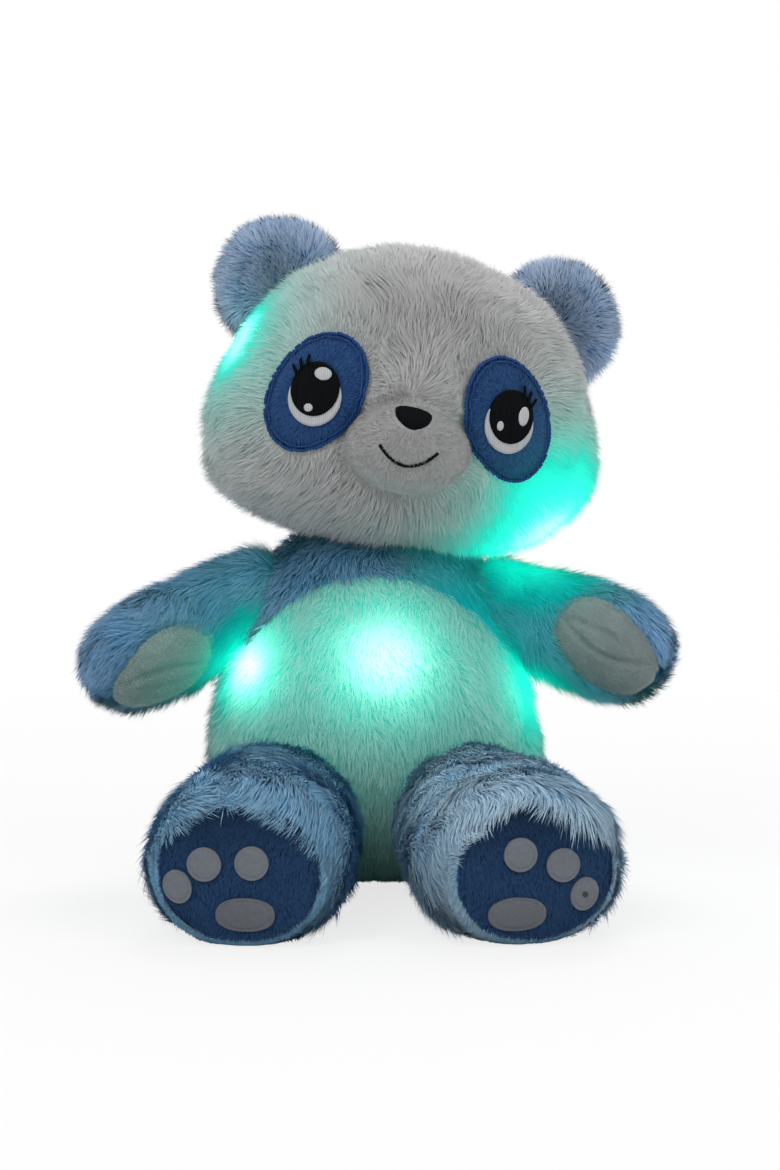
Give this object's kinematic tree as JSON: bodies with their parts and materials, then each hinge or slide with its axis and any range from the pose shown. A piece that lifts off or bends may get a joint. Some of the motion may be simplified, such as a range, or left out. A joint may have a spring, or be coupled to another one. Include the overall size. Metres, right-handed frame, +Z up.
{
  "type": "plush night light",
  "caption": "Seated plush animal night light with lights inside its belly and head, a battery case behind a zip in its back and a push switch in its foot.",
  "frame": {"origin": "middle of the flat under the seat, on the surface that the toy sits on", "axes": "+Z up, -Y the way the toy faces, +X towards the toy's own left"},
  "size_m": [0.2761, 0.2313, 0.3176],
  "materials": {
    "white_plush": "long soft pile",
    "belly_plush": "short soft pile, lit from behind",
    "muzzle_plush": "short pile",
    "blue_plush": "long two-tone pile with pale tips",
    "patch_plush": "short pile with a satin-stitched border",
    "sole_plush": "short pile",
    "pad_felt": "smooth brushed felt",
    "embroidery": "satin stitch in glossy thread",
    "fibre_fill": "loose polyester fibre",
    "pouch_cloth": "plain woven cloth",
    "zip_tape": "woven tape with moulded teeth",
    "case_plastic": "moulded",
    "black_plastic": "moulded",
    "cell_jacket": "shrink film over a steel can",
    "circuit_board": "coated laminate",
    "light_lens": "milky domed lens",
    "lead_cover": "soft lead covering",
    "plated_steel": "nickel plated"
  },
  "bodies": {
    "torso": {"back_panel": "white_plush", "battery_1": "cell_jacket", "battery_2": "cell_jacket", "battery_3": "cell_jacket", "battery_case": "case_plastic", "battery_cover": "case_plastic", "battery_pouch": "pouch_cloth", "belly_panel": "belly_plush", "body_fill": "fibre_fill", "body_harness": "lead_cover", "chest_yoke": "blue_plush", "contact_strip_bottom": "plated_steel", "contact_strip_top": "plated_steel", "control_board": "circuit_board", "cover_screw": "plated_steel", "light_belly_middle": "light_lens", "light_belly_side": "light_lens", "light_flank": "light_lens", "zip_tape_left": "zip_tape", "zip_tape_right": "zip_tape"},
    "neck": {"neck_fill": "fibre_fill"},
    "head": {"ear_left": "blue_plush", "ear_right": "blue_plush", "eye_left": "embroidery", "eye_patch_left": "patch_plush", "eye_patch_right": "patch_plush", "eye_right": "embroidery", "head_cover": "white_plush", "head_fill": "fibre_fill", "head_harness": "lead_cover", "light_cheek": "light_lens", "light_temple": "light_lens", "mouth_thread": "embroidery", "muzzle": "muzzle_plush", "nose": "embroidery"},
    "arm_right": {"arm_right_fill": "fibre_fill", "arm_right_palm": "pad_felt", "arm_right_sleeve": "blue_plush"},
    "arm_left": {"arm_left_fill": "fibre_fill", "arm_left_palm": "pad_felt", "arm_left_sleeve": "blue_plush"},
    "leg_right": {"leg_right_cover": "blue_plush", "leg_right_fill": "fibre_fill", "leg_right_heel_pad": "pad_felt", "leg_right_sole": "sole_plush", "leg_right_toe_pad_inner": "pad_felt", "leg_right_toe_pad_middle": "pad_felt", "leg_right_toe_pad_outer": "pad_felt"},
    "leg_left": {"leg_left_cover": "blue_plush", "leg_left_fill": "fibre_fill", "leg_left_heel_pad": "pad_felt", "leg_left_sole": "sole_plush", "leg_left_toe_pad_inner": "pad_felt", "leg_left_toe_pad_middle": "pad_felt", "leg_left_toe_pad_outer": "pad_felt", "switch_body": "black_plastic", "switch_lead": "lead_cover"},
    "slider": {"zip_slider": "plated_steel"},
    "pull": {"zip_pull": "plated_steel"},
    "plunger": {"switch_plunger": "black_plastic"}
  },
  "joints": [
    {"name": "head_turn", "type": "hinge", "parent": "torso", "child": "neck", "pos_m": [0.004, 0.002, 0.156], "axis": [0, 0, 1], "range_deg": [-25, 25], "stiffness_Nm_per_rad": 1.5},
    {"name": "head_nod", "type": "hinge", "parent": "neck", "child": "head", "pos_m": [0.004, 0.002, 0.156], "axis": [1, 0, 0], "range_deg": [-8, 8], "stiffness_Nm_per_rad": 8},
    {"name": "arm_right_raise", "type": "hinge", "parent": "torso", "child": "arm_right", "pos_m": [-0.062, -0.003, 0.138], "axis": [0, 1, 0], "range_deg": [-12, 30], "stiffness_Nm_per_rad": 1},
    {"name": "arm_left_raise", "type": "hinge", "parent": "torso", "child": "arm_left", "pos_m": [0.063, -0.003, 0.133], "axis": [0, -1, 0], "range_deg": [-12, 30], "stiffness_Nm_per_rad": 1},
    {"name": "leg_right_raise", "type": "hinge", "parent": "torso", "child": "leg_right", "pos_m": [-0.045, -0.048, 0.037], "axis": [-1, 0, 0], "range_deg": [0, 35], "stiffness_Nm_per_rad": 2},
    {"name": "leg_left_raise", "type": "hinge", "parent": "torso", "child": "leg_left", "pos_m": [0.044, -0.048, 0.037], "axis": [-1, 0, 0], "range_deg": [0, 35], "stiffness_Nm_per_rad": 2},
    {"name": "zip_slide", "type": "slide", "parent": "torso", "child": "slider", "axis": [0, 0, -1], "range_m": [0, 0.043]},
    {"name": "pull_swing", "type": "hinge", "parent": "slider", "child": "pull", "pos_m": [0, 0.0581, 0.0875], "axis": [1, 0, 0], "range_deg": [0, 150]},
    {"name": "switch_press", "type": "slide", "parent": "leg_left", "child": "plunger", "axis": [-0.2316, 0.9728, 0], "range_m": [0, 0.001], "stiffness_N_per_m": 200}
  ]
}
